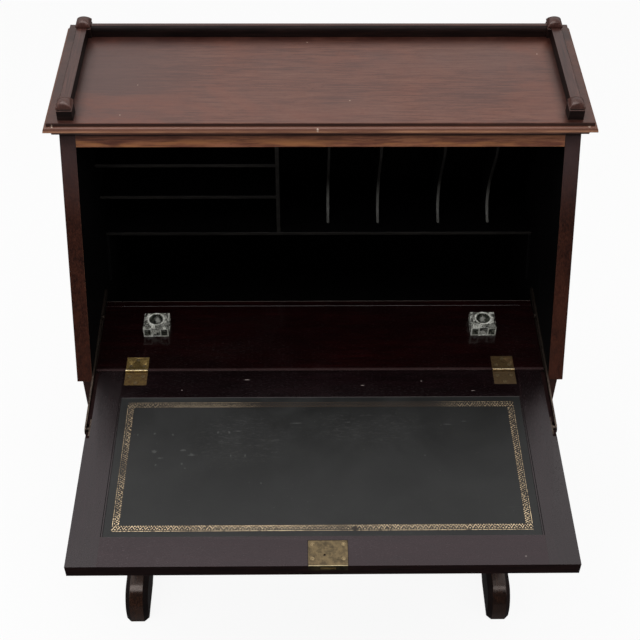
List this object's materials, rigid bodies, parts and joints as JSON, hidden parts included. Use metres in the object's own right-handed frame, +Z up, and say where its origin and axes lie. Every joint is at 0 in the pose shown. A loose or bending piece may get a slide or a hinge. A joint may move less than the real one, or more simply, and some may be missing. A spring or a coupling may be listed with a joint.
{
  "type": "slope-front writing bureau",
  "caption": "Slope-front writing bureau with a galleried top, pigeonholes, inkwells and a leathered fall that opens level on brass hinges and slotted stays.",
  "frame": {"origin": "middle of the bounding box on the ground, with the fall open", "axes": "+X to the writer's right, +Y from the writer to the back of the bureau, +Z up"},
  "size_m": [0.76, 0.7196, 1.077],
  "materials": {
    "case_wood": "satin",
    "top_wood": "satin",
    "inner_wood": "satin",
    "floor_wood": "gloss",
    "fall_wood": "satin",
    "base_wood": "satin",
    "green_leather": "matte",
    "aged_brass": "satin",
    "stay_steel": "satin",
    "clear_glass": "gloss"
  },
  "bodies": {
    "case": {"case_side_left": "case_wood", "case_side_right": "case_wood", "case_top": "case_wood", "top_board": "top_wood", "case_back": "inner_wood", "floor_board": "floor_wood", "floor_rim": "floor_wood", "floor_bearers": "inner_wood", "well_side_left": "case_wood", "well_side_right": "case_wood", "well_front": "case_wood", "well_back": "case_wood", "well_bottom": "inner_wood", "main_shelf": "inner_wood", "middle_shelf": "inner_wood", "upper_shelf": "inner_wood", "upright_divider": "inner_wood", "shelf_ends": "inner_wood", "shaped_divider_1": "inner_wood", "shaped_divider_2": "inner_wood", "shaped_divider_3": "inner_wood", "shaped_divider_4": "inner_wood", "gallery_back_rail": "top_wood", "gallery_rail_left": "top_wood", "gallery_rail_right": "top_wood", "gallery_post_front_left": "top_wood", "gallery_post_front_right": "top_wood", "gallery_post_back_left": "top_wood", "gallery_post_back_right": "top_wood", "hinge_floor_leaves": "aged_brass", "hinge_pins": "aged_brass", "hinge_floor_screws": "aged_brass", "lock_strike": "aged_brass", "stay_studs": "stay_steel", "end_panel_left": "base_wood", "end_panel_right": "base_wood", "foot_left": "base_wood", "foot_right": "base_wood", "stretcher": "base_wood", "top_cleats": "base_wood"},
    "fall": {"fall_stile_left": "fall_wood", "fall_stile_right": "fall_wood", "fall_front_rail": "fall_wood", "fall_hinge_rail": "fall_wood", "fall_panel": "fall_wood", "leather_inset": "green_leather", "hinge_fall_leaves": "aged_brass", "hinge_fall_screws": "aged_brass", "lock_plate": "aged_brass", "lock_case": "stay_steel", "lock_screws": "aged_brass", "key_escutcheon": "aged_brass", "stay_plates": "stay_steel", "stay_plate_screws": "stay_steel"},
    "stay_left": {"stay_bar_left": "stay_steel"},
    "stay_right": {"stay_bar_right": "stay_steel"},
    "lock_bolt": {"lock_bolt": "aged_brass"},
    "inkwell_left": {"inkwell_left": "clear_glass"},
    "inkwell_right": {"inkwell_right": "clear_glass"}
  },
  "joints": [
    {"name": "fall_hinge", "type": "hinge", "parent": "case", "child": "fall", "pos_m": [0, -0.01823, 0.69], "axis": [-1, 0, 0], "range_deg": [0, 115.5]},
    {"name": "stay_pivot_left", "type": "hinge", "parent": "fall", "child": "stay_left", "pos_m": [-0.3381, -0.12608, 0.68435], "axis": [-1, 0, 0], "range_deg": [-58, 0]},
    {"name": "stay_pivot_right", "type": "hinge", "parent": "fall", "child": "stay_right", "pos_m": [0.3381, -0.12608, 0.68435], "axis": [-1, 0, 0], "range_deg": [-58, 0]},
    {"name": "bolt_slide", "type": "slide", "parent": "fall", "child": "lock_bolt", "axis": [0, -1, 0], "range_m": [0, 0.012]},
    {"name": "inkwell_lift_left", "type": "slide", "parent": "case", "child": "inkwell_left", "axis": [0, 0, 1], "range_m": [0, 0.06]},
    {"name": "inkwell_lift_right", "type": "slide", "parent": "case", "child": "inkwell_right", "axis": [0, 0, 1], "range_m": [0, 0.06]}
  ],
  "couplings": [
    {"joint": "stay_pivot_left", "follows": "fall_hinge", "ratio": -0.5},
    {"joint": "stay_pivot_right", "follows": "fall_hinge", "ratio": -0.5}
  ]
}
